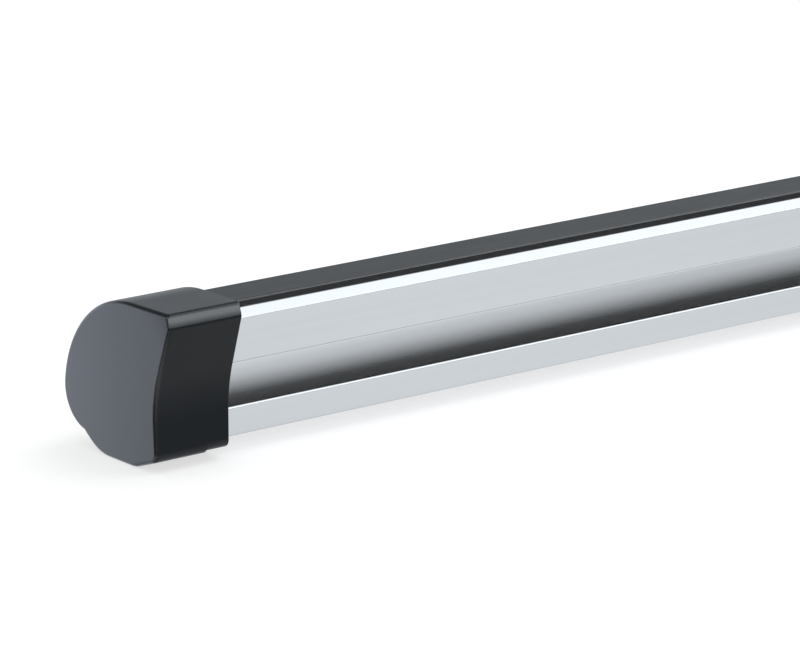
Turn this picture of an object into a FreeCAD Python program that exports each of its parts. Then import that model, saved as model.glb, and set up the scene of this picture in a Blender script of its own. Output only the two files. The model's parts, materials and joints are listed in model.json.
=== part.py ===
import FreeCAD, Part
import math
import os

# Roof rack crossbar, in millimetres. The bar lies along X, its grooved front face looks to -Y, +Z is up,
# and the origin lies under the middle of the bar, on the surface that the end caps stand on.

# The extruded bar
bar_length = 1200.0
bar_width = 42.2
bar_height = 36.0
bar_wall = 1.8
web_thickness = 1.8
bevel_turn = 45.0         # degrees from level to the normal of the bevel between the rim and the front face
bevel_depth = 2.25        # from the rim down to the centre of the brow's round
brow_round = 0.2          # where the bevel meets the front face
rim_round = 0.7           # where the bevel meets the rim
front_lean = 19.0         # degrees by which the front face and the lip lean in towards the foot
face_height = 15.25       # from the top rim down to the cove
score_width = 0.4         # fine drill-guide groove along the lower edge of the front face
score_depth = 0.1
score_shelf = 0.05        # the groove's steep lower side
cove_radius = 22.0
lip_height = 8.7          # from the foot's underside up to the lip's edge
lip_bevel = 0.3           # by which the lip's upper edge stands out of the cove, on a small bevel
lip_round = 0.2
rim_flat = 14.1           # from the front up to where the crowned back begins
haunch_radius = 8.0       # tight lower part of the round back
foot_height = 2.85        # from the foot's underside up to the haunch
foot_set_in = 1.1         # foot's rear side, in from the haunch's centre
foot_front_round = 1.0
foot_rear_round = 2.5
notch_round = 0.8

# T-slot in the top rim
slot_centre = 9.4         # from the bar's front
slot_opening = 9.5
slot_lip = 2.2
slot_depth = 6.4          # free height under the lips
slot_reach = 7.0          # from the slot's centre to its rear wall

# Channel for the feet's bolts, in the underside
channel_opening = 9.0
channel_lip = 2.5
channel_width = 17.0
channel_depth = 6.0
inner_round = 0.6

# Rubber strip in the T-slot
strip_width = 14.0
strip_rise = 2.0          # above the rim
strip_edge_round = 0.65
strip_gap = 0.1           # to the slot's sides and lips
strip_leg = 1.8
strip_web = 0.6           # how far the groove between the legs stays below the rim
barb_reach = 1.2
barb_height = 1.6
strip_end_gap = 0.3       # between the strip and a cap

# Moulded end cap
cap_length = 23.7
cap_end_wall = 3.0
cap_skin = 2.8            # from the bar's surface to the cap's
cap_floor = 4.5           # the cap stands this far below the bar's foot
cap_gap = 0.3             # sliding clearance between cap and bar
cap_bevel_turn = 17.0     # the cap's bevel is steeper than the bar's
cap_bevel_depth = 3.6     # from the top down to the centre of the cap's brow round
cap_brow_round = 1.4
cap_rim_round = 1.2
cap_lean = 17.5
cap_face_height = 17.0    # from the cap's top down to the front's hollow curve
cap_toe_slope = 19.3      # degrees by which the underside rises towards the front
cap_toe_run = 10.0        # from the lower front back to where the cap stands
cap_toe_round = 3.0
cap_toe_blend = 8.0
cap_heel_slope = 34.5     # degrees, the underside's rise at the rear
cap_heel_rise = 3.8
cap_heel_step = 1.1
cap_heel_round = 1.6
cap_heel_blend = 14.0
cap_notch_round = 0.5
cap_edge_round = 1.1       # around the end face
cap_mouth_round = 0.4
cap_relief_length = 6.8   # shallow relief under the mouth
cap_relief_depth = 0.45
cap_dome_radius = 400.0   # the end face is very slightly domed
spigot_length = 16.0
spigot_wall = 1.6

# Levels and planes that follow from the sizes above
foot_z = cap_floor
top_z = foot_z + bar_height
front_y = -bar_width / 2
slot_y = front_y + slot_centre
lip_z = foot_z + lip_height
cap_top_z = top_z + cap_skin
cap_front_y = front_y - cap_skin
strip_top_z = top_z + strip_rise
sleeve_depth = cap_length - cap_end_wall
touch = 1e-6


def section_point(y, z):
    """Point of the bar's section, in the plane across its length."""
    return FreeCAD.Vector(0, y, z)


def on_circle(centre, radius, degrees):
    angle = math.radians(degrees)
    return centre + section_point(radius * math.cos(angle), radius * math.sin(angle))


def bearing(centre, point):
    """Angle in degrees at which a point lies from a centre."""
    return math.degrees(math.atan2(point.z - centre.z, point.y - centre.y))


def arc_between(centre, radius, start, end):
    """Three points of an arc that turns from one angle to another."""
    return [on_circle(centre, radius, a) for a in (start, (start + end) / 2, end)]


def corner(before, at, after, radius):
    """Three points of the arc that rounds the corner between two straight sides."""
    to_before = (before - at).normalize()
    to_after = (after - at).normalize()
    half = to_before.getAngle(to_after) / 2
    middle = (to_before + to_after).normalize()
    centre = at + middle * (radius / math.sin(half))
    reach = radius / math.tan(half)
    return [at + to_before * reach, centre - middle * radius, at + to_after * reach]


def side_to_arc(foot, direction, aside, centre, radius, blend):
    """Arc that rounds the edge between a straight side and an arc that bends away from it.

    The side runs through foot, and aside points from it to the blend's centre.
    The three points run from the side to the arc.
    """
    base = foot + aside * blend
    along = (centre - base).dot(direction)
    nearest = base + direction * along
    offset = (centre - nearest).Length
    run = math.sqrt((radius + blend) ** 2 - offset**2)
    blend_centre = min(
        (nearest + direction * run, nearest - direction * run),
        key=lambda p: (p - foot).Length,
    )
    on_side = blend_centre - aside * blend
    on_arc = blend_centre + (centre - blend_centre).normalize() * blend
    middle = ((on_side + on_arc) * 0.5 - blend_centre).normalize()
    return [on_side, blend_centre + middle * blend, on_arc]


def closed_wire(stations):
    """Closed outline through its stations: arcs of three points, and sharp corners of one point."""
    edges = []
    for this, following in zip(stations, stations[1:] + stations[:1]):
        if len(this) == 3:
            edges.append(Part.Arc(*this).toShape())
        if this[-1].distanceToPoint(following[0]) > touch:
            edges.append(Part.LineSegment(this[-1], following[0]).toShape())
    return Part.Wire(edges)


def polygon_face(points, radius=0):
    """Face of a polygon, with its corners rounded alike or left sharp."""
    if radius == 0:
        return Part.Face(closed_wire([[p] for p in points]))
    after = points[1:] + points[:1]
    before = points[-1:] + points[:-1]
    return Part.Face(closed_wire([corner(b, p, a, radius) for b, p, a in zip(before, points, after)]))


def block_face(low_y, high_y, low_z, high_z, radius=0):
    corners = [(low_y, low_z), (high_y, low_z), (high_y, high_z), (low_y, high_z)]
    return polygon_face([section_point(y, z) for y, z in corners], radius)


def extruded(face, start_x, end_x):
    """Solid of a section face between two places along the bar."""
    solid = face.extrude(FreeCAD.Vector(end_x - start_x, 0, 0))
    solid.translate(FreeCAD.Vector(start_x, 0, 0))
    return solid


def leaning_point(edge_centre, radius, lean, level):
    """Point at a level on the leaning face that runs down from a rounded edge."""
    start = on_circle(edge_centre, radius, 180 + lean)
    return section_point(start.y + (start.z - level) * math.tan(math.radians(lean)), level)


def brow():
    """Centre of the round edge between the bevel and the front face."""
    return section_point(front_y + brow_round, top_z - bevel_depth)


def front_point(level):
    """Point of the bar's front face at a level."""
    return leaning_point(brow(), brow_round, front_lean, level)


def bevelled_edge(centre, radius, lean, turn, rim_end, edge_round):
    """Arcs of the upper front edge: from the leaning face into the bevel, and from the bevel into the rim."""
    low = arc_between(centre, radius, 180 + lean, 180 - turn)
    run = (rim_end.z - low[-1].z) * math.tan(math.radians(turn))
    edge = section_point(low[-1].y + run, rim_end.z)
    return [low, corner(low[-1], edge, rim_end, edge_round)]


def back_arcs(skin):
    """Centres and radii of the crown and the haunch, a skin outside the bar, and where they meet."""
    reach = bar_width - rim_flat - haunch_radius
    fall = bar_height - foot_height - 2 * haunch_radius
    apart = (reach**2 + fall**2) / (2 * fall)
    handover = math.degrees(math.asin((apart - fall) / apart))
    crown = section_point(front_y + rim_flat, top_z - haunch_radius - apart)
    haunch = on_circle(crown, apart, handover)
    return crown, apart + haunch_radius + skin, haunch, haunch_radius + skin, handover


def back_outline(skin, heel, up, rearwards, blend):
    """Arcs of the round back, from the rim down to the notch above the foot's rear side.

    The rear side runs up from the heel, and rearwards points out of it.
    """
    crown, crown_radius, haunch, low_radius, handover = back_arcs(skin)
    notch = side_to_arc(heel, up, rearwards, haunch, low_radius, blend)
    end = bearing(haunch, notch[-1])
    if end > 0:
        end -= 360
    return [
        arc_between(crown, crown_radius, 90, handover),
        arc_between(haunch, low_radius, handover, end),
        notch[::-1],
    ]


def into_face(lean):
    """Direction square to a leaning front face, into the material."""
    return section_point(math.cos(math.radians(lean)), math.sin(math.radians(lean)))


def cove():
    """Centre of the cove under the front face, and where the cove ends on the lip's small bevel."""
    centre = front_point(top_z - face_height) - into_face(front_lean) * cove_radius
    fall = centre.z - lip_z - lip_bevel
    return centre, section_point(centre.y + math.sqrt(cove_radius**2 - fall**2), centre.z - fall)


def lip_edge():
    """Upper edge of the lip, at the front of its small bevel."""
    return cove()[1] - section_point(lip_bevel, lip_bevel)


def lip_toe():
    """Where the lip's leaning face meets the foot's underside."""
    return section_point(lip_edge().y + lip_height * math.tan(math.radians(front_lean)), foot_z)


def foot_heel():
    """Lower rear corner of the bar's foot."""
    return section_point(back_arcs(0)[2].y - foot_set_in, foot_z)


def bar_outline():
    """Outer outline of the bar's section, without its slots."""
    rim_end = section_point(front_y + rim_flat, top_z)
    cove_centre, cove_end = cove()
    toe, heel, edge = lip_toe(), foot_heel(), lip_edge()
    back = back_outline(0, heel, section_point(0, 1), section_point(1, 0), notch_round)
    return closed_wire(
        bevelled_edge(brow(), brow_round, front_lean, bevel_turn, rim_end, rim_round)
        + back
        + [
            corner(back[-1][-1], heel, toe, foot_rear_round),
            corner(heel, toe, edge, foot_front_round),
            corner(toe, edge, cove_end, lip_round),
            arc_between(cove_centre, cove_radius, bearing(cove_centre, cove_end), front_lean),
        ]
    )


def score_cut():
    """Fine groove with a steep lower side, which marks the lower edge of the front face."""
    face_end = front_point(top_z - face_height)
    inward = into_face(front_lean)
    upward = section_point(-inward.z, inward.y)
    high = face_end + upward * score_width
    deep = inward * score_depth
    return polygon_face([face_end + upward * score_shelf + deep, high, high - deep, face_end - deep, face_end])


def slot_cut():
    """T-slot in the rim: its opening and the wider space under the lips, which follows the front face."""
    half = slot_opening / 2
    ceiling, floor = top_z - slot_lip, top_z - slot_lip - slot_depth
    wall = section_point(bar_wall / math.cos(math.radians(front_lean)), 0)
    space = [
        front_point(ceiling) + wall,
        front_point(floor) + wall,
        section_point(slot_y + slot_reach, floor),
        section_point(slot_y + slot_reach, ceiling),
    ]
    opening = block_face(slot_y - half, slot_y + half, ceiling - inner_round, top_z + slot_lip)
    return polygon_face(space, inner_round).fuse(opening)


def channel_y():
    return (lip_toe().y + foot_heel().y) / 2


def channel_cut():
    """Channel in the underside: its opening and the wider space above the lips."""
    middle = channel_y()
    floor = foot_z + channel_lip
    half = channel_width / 2
    space = block_face(middle - half, middle + half, floor, floor + channel_depth, inner_round)
    half = channel_opening / 2
    return space.fuse(block_face(middle - half, middle + half, foot_z - channel_lip, floor + inner_round))


def hollow_faces():
    """The two hollows, in front of the web and behind it, with the bar's wall left round them."""
    inset = Part.Face(bar_outline()).makeOffset2D(-bar_wall)
    under_slot = top_z - slot_lip - slot_depth - web_thickness
    over_channel = foot_z + channel_lip + channel_depth + web_thickness
    web_front = slot_y + slot_reach
    web_rear = web_front + web_thickness
    channel_rear = channel_y() + channel_width / 2 + web_thickness
    front = inset.common(block_face(front_y, web_front, over_channel, under_slot))
    rear_space = block_face(web_rear, -front_y, over_channel, top_z)
    rear_space = rear_space.fuse(block_face(channel_rear, -front_y, foot_z, top_z)).removeSplitter()
    rear = inset.common(rear_space)
    return [softened(f, inner_round) for f in (front, rear)]


def softened(face, radius):
    """The same face with its outward corners rounded."""
    return Part.Face(face.Faces[0].OuterWire).makeOffset2D(-radius).makeOffset2D(radius).Faces[0]


def make_bar_profile():
    face = Part.Face(bar_outline())
    for cut in [slot_cut(), channel_cut(), score_cut()] + hollow_faces():
        face = face.cut(cut)
    return extruded(face.removeSplitter().Faces[0], -bar_length / 2, bar_length / 2)


def make_top_strip():
    """Flat head over the rim, and two legs whose barbs hold under the slot's lips."""
    half = strip_width / 2
    leg_outside = slot_opening / 2 - strip_gap
    leg_inside = leg_outside - strip_leg
    barb = leg_outside + barb_reach
    barb_top = top_z - slot_lip - strip_gap
    right = [
        (half, top_z),
        (leg_outside, top_z),
        (leg_outside, barb_top),
        (barb, barb_top),
        (leg_outside, barb_top - barb_height),
        (leg_inside, barb_top - barb_height),
        (leg_inside, top_z - strip_web),
    ]
    head = [section_point(slot_y + y, strip_top_z) for y in (-half, half)]
    below = [section_point(slot_y + y, z) for y, z in right]
    below += [section_point(slot_y - y, z) for y, z in right[::-1]]
    stations = [
        corner(below[-1], head[0], head[1], strip_edge_round),
        corner(head[0], head[1], below[0], strip_edge_round),
    ]
    face = Part.Face(closed_wire(stations + [[p] for p in below]))
    reach = bar_length / 2 - sleeve_depth - strip_end_gap
    return extruded(face, -reach, reach)


def cap_outline():
    """Outer outline of the cap: it follows the bar's bevel, top and back, and stands on a flat sole."""
    brow_centre = section_point(cap_front_y + cap_brow_round, cap_top_z - cap_bevel_depth)
    rim_end = section_point(front_y + rim_flat, cap_top_z)
    face_end = leaning_point(brow_centre, cap_brow_round, cap_lean, cap_top_z - cap_face_height)
    curve_radius = (face_end.z - lip_z) / math.sin(math.radians(cap_lean))
    curve_centre = face_end - into_face(cap_lean) * curve_radius
    upright = on_circle(curve_centre, curve_radius, 0)
    toe = section_point(upright.y, cap_toe_run * math.tan(math.radians(cap_toe_slope)))
    sole_front = section_point(upright.y + cap_toe_run, 0)
    notch_y = foot_heel().y + cap_skin
    heel_top = section_point(notch_y - cap_heel_step, cap_heel_rise)
    heel_run = cap_heel_rise / math.tan(math.radians(cap_heel_slope))
    heel = section_point(heel_top.y - heel_run, 0)
    haunch, low_radius = back_arcs(cap_skin)[2:4]
    notch = section_point(notch_y, haunch.z - math.sqrt(low_radius**2 - (notch_y - haunch.y) ** 2))
    up = (notch - heel_top).normalize()
    back = back_outline(cap_skin, heel_top, up, section_point(up.z, -up.y), cap_notch_round)
    return closed_wire(
        bevelled_edge(brow_centre, cap_brow_round, cap_lean, cap_bevel_turn, rim_end, cap_rim_round)
        + back
        + [
            corner(notch, heel_top, heel, cap_heel_round),
            corner(heel_top, heel, sole_front, cap_heel_blend),
            corner(heel, sole_front, toe, cap_toe_blend),
            corner(sole_front, toe, upright, cap_toe_round),
            arc_between(curve_centre, curve_radius, 0, cap_lean),
        ]
    )


def face_towards(solid, side):
    """The solid's outermost face along the bar, on the left for -1 and on the right for 1."""
    return max(solid.Faces, key=lambda face: side * face.CenterOfMass.x)


def make_spigot(hollow, root_x):
    """Thin-walled spigot that pushes into one of the bar's hollows."""
    outside = hollow.makeOffset2D(-cap_gap).Faces[0]
    inside = outside.makeOffset2D(-spigot_wall).Faces[0]
    return extruded(outside.cut(inside), root_x - spigot_length, root_x)


def sole_relief(mouth_x):
    """What the shallow relief takes off the underside, next to the mouth."""
    front, rear = section_point(cap_front_y, 0), foot_heel()
    room = Part.makeBox(cap_relief_length, (rear - front).y, lip_z, front + FreeCAD.Vector(mouth_x, 0, 0))
    kept = extruded(Part.Face(cap_outline()), mouth_x, mouth_x + cap_relief_length)
    kept.translate(section_point(0, cap_relief_depth))
    return room.cut(kept)


def make_end_cap():
    """Cap of the bar's right end: skin, pocket for the bar, and spigots."""
    inner_x = bar_length / 2
    mouth_x, face_x = inner_x - sleeve_depth, inner_x + cap_end_wall
    cap = extruded(Part.Face(cap_outline()), mouth_x, face_x)
    dome_centre = FreeCAD.Vector(face_x - cap_dome_radius, 0, cap_top_z / 2)
    cap = cap.common(Part.makeSphere(cap_dome_radius, dome_centre))
    cap = cap.makeFillet(cap_mouth_round, face_towards(cap, -1).Edges)
    cap = cap.makeFillet(cap_edge_round, face_towards(cap, 1).Edges)
    pocket = Part.Face(bar_outline()).makeOffset2D(cap_gap)
    cap = cap.cut(extruded(pocket, mouth_x - cap_length, inner_x))
    cap = cap.cut(sole_relief(mouth_x))
    for hollow in hollow_faces():
        cap = cap.fuse(make_spigot(hollow, inner_x))
    return cap.removeSplitter()


def main():
    os.makedirs("parts", exist_ok=True)
    right = make_end_cap()
    nodes = {
        "bar_profile": make_bar_profile(),
        "top_strip": make_top_strip(),
        "end_cap_right": right,
        "end_cap_left": right.mirror(FreeCAD.Vector(0, 0, 0), FreeCAD.Vector(1, 0, 0)),
    }
    for name, shape in nodes.items():
        solid = shape.Solids[0]
        print(name, len(shape.Solids), solid.isValid(), round(solid.Volume), solid.BoundBox)
        solid.exportStep(f"parts/{name}.step")


main()
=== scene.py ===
import json
import math

import bpy
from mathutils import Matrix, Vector


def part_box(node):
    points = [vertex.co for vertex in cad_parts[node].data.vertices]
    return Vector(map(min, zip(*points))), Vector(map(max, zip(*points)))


# Looks of a roof rack crossbar: an anodised extrusion, the rubber strip in its top slot and two moulded caps.
# Sizes are in metres, in the frame of the part. Colours are linear, with their alpha last.


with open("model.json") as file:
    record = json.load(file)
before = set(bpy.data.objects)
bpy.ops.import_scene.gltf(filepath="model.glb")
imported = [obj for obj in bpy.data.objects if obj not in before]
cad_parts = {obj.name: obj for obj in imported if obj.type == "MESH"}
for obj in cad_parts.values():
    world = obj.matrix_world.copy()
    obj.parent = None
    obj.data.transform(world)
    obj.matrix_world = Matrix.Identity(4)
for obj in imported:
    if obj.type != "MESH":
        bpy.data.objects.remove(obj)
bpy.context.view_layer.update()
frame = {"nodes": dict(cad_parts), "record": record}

# Camera
camera_place = (-1.18405, -0.85474, 0.31288)
camera_tilt = math.radians(74.93)
camera_turn = math.radians(-38.28)
camera_lens = 188.6                # millimetres, on the sensor below
sensor_width = 36.0
camera_near = 0.05

# Floor, fill and softbox
white = (1, 1, 1, 1)
floor_size = 12.0
floor_grey = (0.50, 0.50, 0.50, 1)
floor_lift = 0.66                  # shows the floor white to the camera, apart from the shadow
fill_light = (0.59, 0.60, 0.61, 1)
softbox_size = (1.6, 1.1)
softbox_place = Vector((0.2, -0.15, 1.35))
softbox_aim = Vector((-0.4, 0.0, 0.03))
softbox_power = 9.0                # watts

# Studio walls as the gloss sees them: elevation of a ray in degrees, and how bright the wall is there
back_wall = [
    (-90, 0.60), (-40, 0.80), (-18, 0.85), (2, 0.75), (10, 0.72), (18, 0.70), (25, 0.40), (34, 0.12),
    (90, 0.10),
]
front_wall = [
    (-90, 0.30), (-56, 0.62), (-42, 0.77), (-38, 0.75), (-34, 0.62), (-28, 0.52), (-21, 0.36), (-14, 0.19),
    (-8, 0.05), (-3, 0.02), (7, 0.02), (11, 3.0), (20, 3.0), (27, 1.18), (53, 1.18), (62, 0.30),
    (90, 0.10),
]
side_wall = [
    (-90, 0.30), (-45, 0.50), (-28, 0.80), (-15, 1.07), (0, 1.19), (10, 0.80), (24, 0.12), (90, 0.10),
]
back_tint = (0.93, 1.0, 1.06)
front_tint = (0.96, 1.0, 1.04)
side_tint = (0.93, 1.0, 1.15)

# Where one wall gives way to the next, as spans of a ray's direction along an axis
side_along = (0.10, -0.35)         # the wall at the left end takes over from the back wall
front_across = (0.45, 0.15)        # the front wall takes over from both
corner_along = (-0.62, -0.85)      # the front wall's corner turns dark
corner_foot = (-0.47, -0.40)       # up from here,
corner_head = (-0.12, -0.20)       # and down from here
corner_dark = (0.03, 0.03, 0.03, 1)

# Anodised aluminium of the bar
die_run = 0.4                      # length over which a die line stays the same
broad_pitch = 0.0040
narrow_pitch = 0.0007
hair_pitch = 0.00015
skin_dark = (0.80, 0.815, 0.825, 1)
skin_pale = (0.86, 0.875, 0.88, 1)
skin_roughness = 0.13
narrow_roughness = 0.03
hair_roughness = 0.02
narrow_share = 0.7                 # of the lines' depth
hair_share = 0.3
line_depth = 1.2e-6
sawn_depth = 0.00002               # the saw's marks reach this far from the bar's ends
sawn_grey = (0.42, 0.43, 0.44, 1)
sawn_roughness = 0.35

# Rubber of the strip
rib_pitch = 0.0012
bloom_scale = (60, 400, 400)       # patches a metre, along the strip, across it and up it
bloom_detail = 4.0
rubber_grain = 5000                # grains a metre
rubber_dark = (0.007, 0.008, 0.009, 1)
rubber_pale = (0.011, 0.013, 0.014, 1)
rubber_roughness = 0.36
bloom_roughness = 0.08
grain_share = 0.4                  # of the ribs' depth
rubber_relief = 6e-6
strip_margin = (0.0009, 0.0004)    # the strip turns smooth between these distances from its edges
strip_coat_roughness = 0.2

# Plastic of the caps
flow_scale = 70                    # flow marks a metre
flow_detail = 3.0
plastic_grain = 3500
grain_detail = 3.0
plastic_dark = (0.014, 0.017, 0.020, 1)
plastic_pale = (0.017, 0.020, 0.023, 1)
plastic_ior = 1.34
plastic_roughness = 0.28
flow_roughness = 0.08
plastic_relief = 1.2e-5
end_margin = (0.0018, 0.0006)      # the end face turns smooth between these distances from the end,
bevel_drop = (0.0035, 0.0015)      # and the front bevel between these from the top
bevel_margin = (0.0013, 0.0009)    # and these from the front
polish_gain = 0.08                 # how much less rough it is there
cap_coat_roughness = 0.16


class Field:
    """A value that varies over a surface. Arithmetic on it adds Math nodes."""

    def __init__(self, shader, socket):
        self.shader = shader
        self.socket = socket

    def output(self, name):
        """Another output of the same node."""
        return Field(self.shader, self.socket.node.outputs[name])

    def __add__(self, other):
        return self.shader.math("ADD", self, other)

    def __radd__(self, other):
        return self.shader.math("ADD", other, self)

    def __sub__(self, other):
        return self.shader.math("SUBTRACT", self, other)

    def __rsub__(self, other):
        return self.shader.math("SUBTRACT", other, self)

    def __mul__(self, other):
        return self.shader.math("MULTIPLY", self, other)

    def __rmul__(self, other):
        return self.shader.math("MULTIPLY", other, self)

    def __gt__(self, other):
        return self.shader.math("GREATER_THAN", self, other)

    def __abs__(self):
        return self.shader.math("ABSOLUTE", self)

    def rise(self, span):
        """Goes smoothly from 0 to 1 as the value goes through a span."""
        inputs = {"Value": self, "From Min": span[0], "From Max": span[1]}
        return self.shader.add("ShaderNodeMapRange", {"interpolation_type": "SMOOTHSTEP"}, inputs)


class Shader:
    """The nodes of a material or of the world."""

    def __init__(self, owner):
        owner.use_nodes = True
        self.tree = owner.node_tree
        self.tree.nodes.clear()

    def add(self, kind, settings=None, inputs=None, output=0):
        """Adds a node: its settings come first, then its sockets get their values or links."""
        node = self.tree.nodes.new(kind)
        for name, value in (settings or {}).items():
            if name == "stops":
                self.set_stops(node.color_ramp, value)
            else:
                setattr(node, name, value)
        for name, value in (inputs or {}).items():
            if isinstance(value, Field):
                self.tree.links.new(value.socket, node.inputs[name])
            else:
                node.inputs[name].default_value = value
        return Field(self, node.outputs[output]) if node.outputs else None

    def set_stops(self, ramp, stops):
        while len(ramp.elements) < len(stops):
            ramp.elements.new(1)
        for element, (position, colour) in zip(ramp.elements, stops):
            element.position = position
            element.color = colour

    def math(self, operation, *values):
        return self.add("ShaderNodeMath", {"operation": operation}, dict(enumerate(values)))

    def place(self):
        return self.add("ShaderNodeTexCoord", output="Object")

    def split(self, place):
        """The three coordinates of a place or of a direction."""
        x = self.add("ShaderNodeSeparateXYZ", None, {"Vector": place})
        return x, x.output("Y"), x.output("Z")

    def noise(self, place, scale, detail=2.0):
        """Noise of a given number of features a metre along each axis."""
        spread = self.add("ShaderNodeMapping", None, {"Vector": place, "Scale": scale})
        return self.add("ShaderNodeTexNoise", None, {"Vector": spread, "Scale": 1.0, "Detail": detail})

    def even_noise(self, place, scale, detail=2.0):
        return self.noise(place, (scale, scale, scale), detail)

    def die_lines(self, place, pitch):
        """Streaks that a die draws along an extrusion, at about this pitch across it."""
        return self.noise(place, (1 / die_run, 1 / pitch, 1 / pitch))

    def relief(self, height, depth):
        """Normal of a surface whose small relief goes down by this depth."""
        return self.add("ShaderNodeBump", None, {"Height": height, "Distance": depth, "Strength": 1.0})

    def mix(self, factor, low, high):
        """Colour between two others. A Mix node keeps its two colours in its sockets 6 and 7."""
        inputs = {"Factor": factor, 6: low, 7: high}
        return self.add("ShaderNodeMix", {"data_type": "RGBA"}, inputs, "Result")


def anodised_aluminium(shader):
    """Bright satin metal with die lines along the bar, and duller where it was sawn."""
    place = shader.place()
    broad = shader.die_lines(place, broad_pitch)
    narrow = shader.die_lines(place, narrow_pitch)
    hair = shader.die_lines(place, hair_pitch)
    skin = shader.mix(broad, skin_dark, skin_pale)
    bar_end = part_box("bar_profile")[1].x
    sawn = abs(shader.split(place)[0]) > bar_end - sawn_depth
    drawn = skin_roughness + narrow * narrow_roughness + hair * hair_roughness
    return {
        "Base Color": shader.mix(sawn, skin, sawn_grey),
        "Metallic": 1.0,
        "Roughness": drawn + sawn * sawn_roughness,
        "Normal": shader.relief(narrow * narrow_share + hair * hair_share, line_depth),
    }


def strip_rubber(shader):
    """Black rubber with faint ribs along the strip, a pale bloom, and smoother edges."""
    place = shader.place()
    ribs = shader.die_lines(place, rib_pitch)
    bloom = shader.noise(place, bloom_scale, bloom_detail)
    grain = shader.even_noise(place, rubber_grain)
    low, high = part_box("top_strip")
    half_width = (high.y - low.y) / 2
    aside = abs(shader.split(place)[1] - (low.y + high.y) / 2)
    return {
        "Base Color": shader.mix(bloom, rubber_dark, rubber_pale),
        "Roughness": rubber_roughness + bloom * bloom_roughness,
        "Coat Weight": aside.rise([half_width - margin for margin in strip_margin]),
        "Coat Roughness": strip_coat_roughness,
        "Normal": shader.relief(ribs + grain * grain_share, rubber_relief),
    }


def cap_plastic(shader):
    """Black plastic with a fine grain, smoother on the end face and on the front bevel."""
    place = shader.place()
    flow = shader.even_noise(place, flow_scale, flow_detail)
    grain = shader.even_noise(place, plastic_grain, grain_detail)
    along, across, height = shader.split(place)
    low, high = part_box("end_cap_right")
    end = abs(along).rise([high.x - margin for margin in end_margin])
    top = height.rise([high.z - drop for drop in bevel_drop])
    front = across.rise([low.y + margin for margin in bevel_margin])
    polish = top * front * (1 - end) + end
    return {
        "Base Color": shader.mix(flow, plastic_dark, plastic_pale),
        "IOR": plastic_ior,
        "Roughness": plastic_roughness + flow * flow_roughness - polish * polish_gain,
        "Coat Weight": polish,
        "Coat Roughness": cap_coat_roughness,
        "Normal": shader.relief(grain, plastic_relief),
    }


def new_finish(build):
    """Material whose surface is a Principled shader with the sockets that build returns."""
    material = bpy.data.materials.new(build.__name__)
    shader = Shader(material)
    surface = shader.add("ShaderNodeBsdfPrincipled", None, build(shader))
    shader.add("ShaderNodeOutputMaterial", None, {"Surface": surface})
    return material


def dress():
    """Gives each piece the finish that the record names for it, through its own material slots."""
    builds = (anodised_aluminium, strip_rubber, cap_plastic)
    finishes = {build.__name__: new_finish(build) for build in builds}
    for subpart in frame["record"]["subparts"]:
        for slot in frame["nodes"][subpart["node"]].material_slots:
            slot.material = finishes[subpart["material_slot"]]


def wall_colour(shader, height, levels, tint):
    """Colour of one studio wall over the height of the ray that meets it, from -1 to 1."""
    stops = []
    for elevation, level in levels:
        position = (math.sin(math.radians(elevation)) + 1) / 2
        stops.append((position, [level * share for share in tint] + [1]))
    return shader.add("ShaderNodeValToRGB", {"stops": stops}, {"Fac": (height + 1) * 0.5})


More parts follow.
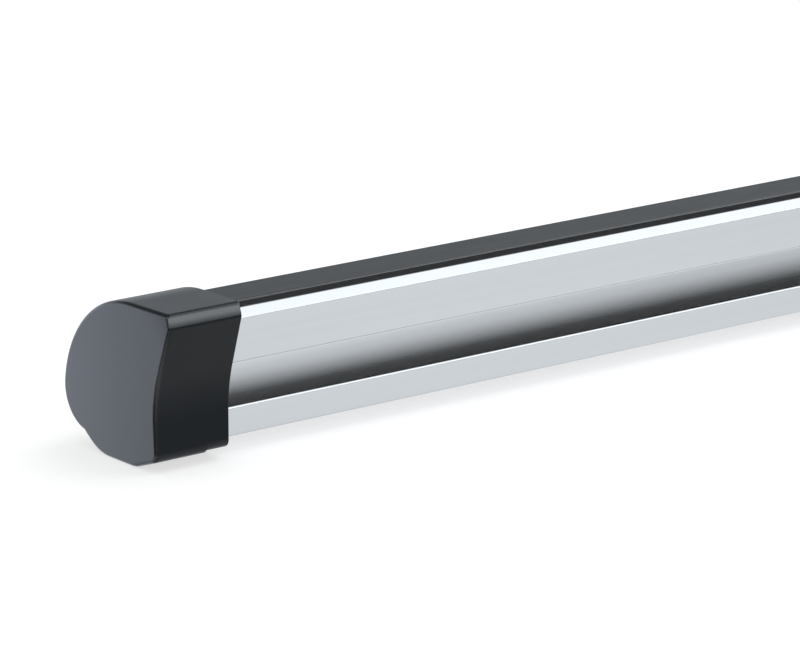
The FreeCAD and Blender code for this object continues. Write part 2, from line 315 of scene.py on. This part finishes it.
def make_surroundings():
    """White behind the object, a plain fill on matt surfaces, and studio walls in the gloss."""
    world = bpy.data.worlds.new("studio")
    bpy.context.scene.world = world
    shader = Shader(world)
    along, across, height = shader.split(shader.add("ShaderNodeTexCoord", output="Generated"))
    back = wall_colour(shader, height, back_wall, back_tint)
    front = wall_colour(shader, height, front_wall, front_tint)
    side = wall_colour(shader, height, side_wall, side_tint)
    corner = along.rise(corner_along) * height.rise(corner_foot) * height.rise(corner_head)
    front = shader.mix(corner, front, corner_dark)
    walls = shader.mix(along.rise(side_along), back, side)
    walls = shader.mix(across.rise(front_across), walls, front)
    camera_ray = shader.add("ShaderNodeLightPath", output="Is Camera Ray")
    straight_ray = shader.math("MAXIMUM", camera_ray, camera_ray.output("Is Transmission Ray"))
    seen = shader.mix(camera_ray.output("Is Glossy Ray"), fill_light, walls)
    seen = shader.mix(straight_ray, seen, white)
    background = shader.add("ShaderNodeBackground", None, {"Color": seen})
    shader.add("ShaderNodeOutputWorld", None, {"Surface": background})
    world.cycles.sampling_method = "NONE"


def floor_finish():
    """Pale matt floor that shows white to the camera and keeps the shadow."""
    material = bpy.data.materials.new("studio_floor")
    shader = Shader(material)
    matt = shader.add("ShaderNodeBsdfDiffuse", None, {"Color": floor_grey})
    camera_ray = shader.add("ShaderNodeLightPath", output="Is Camera Ray")
    lift = shader.add("ShaderNodeEmission", None, {"Color": white, "Strength": camera_ray * floor_lift})
    both = shader.add("ShaderNodeAddShader", None, {0: matt, 1: lift})
    shader.add("ShaderNodeOutputMaterial", None, {"Surface": both})
    return material


def make_floor():
    bpy.ops.mesh.primitive_plane_add(size=floor_size, location=(0, 0, 0))
    floor = bpy.context.object
    floor.name = "studio_floor"
    floor.data.materials.append(floor_finish())
    floor.visible_glossy = False


def make_softbox():
    """Large lamp over the bar, for matt surfaces and the shadow."""
    lamp = bpy.data.lights.new("softbox", "AREA")
    lamp.shape = "RECTANGLE"
    lamp.size, lamp.size_y = softbox_size
    lamp.energy = softbox_power
    softbox = bpy.data.objects.new("softbox", lamp)
    softbox.visible_glossy = False
    softbox.location = softbox_place
    softbox.rotation_euler = (softbox_place - softbox_aim).to_track_quat("Z", "Y").to_euler()
    bpy.context.scene.collection.objects.link(softbox)


def make_camera():
    data = bpy.data.cameras.new("camera")
    data.lens = camera_lens
    data.sensor_width = sensor_width
    data.clip_start = camera_near
    camera = bpy.data.objects.new("camera", data)
    camera.location = camera_place
    camera.rotation_euler = (camera_tilt, 0, camera_turn)
    bpy.context.scene.collection.objects.link(camera)
    bpy.context.scene.camera = camera


bpy.context.scene.view_settings.view_transform = "Standard"
dress()
make_surroundings()
make_floor()
make_softbox()
make_camera()
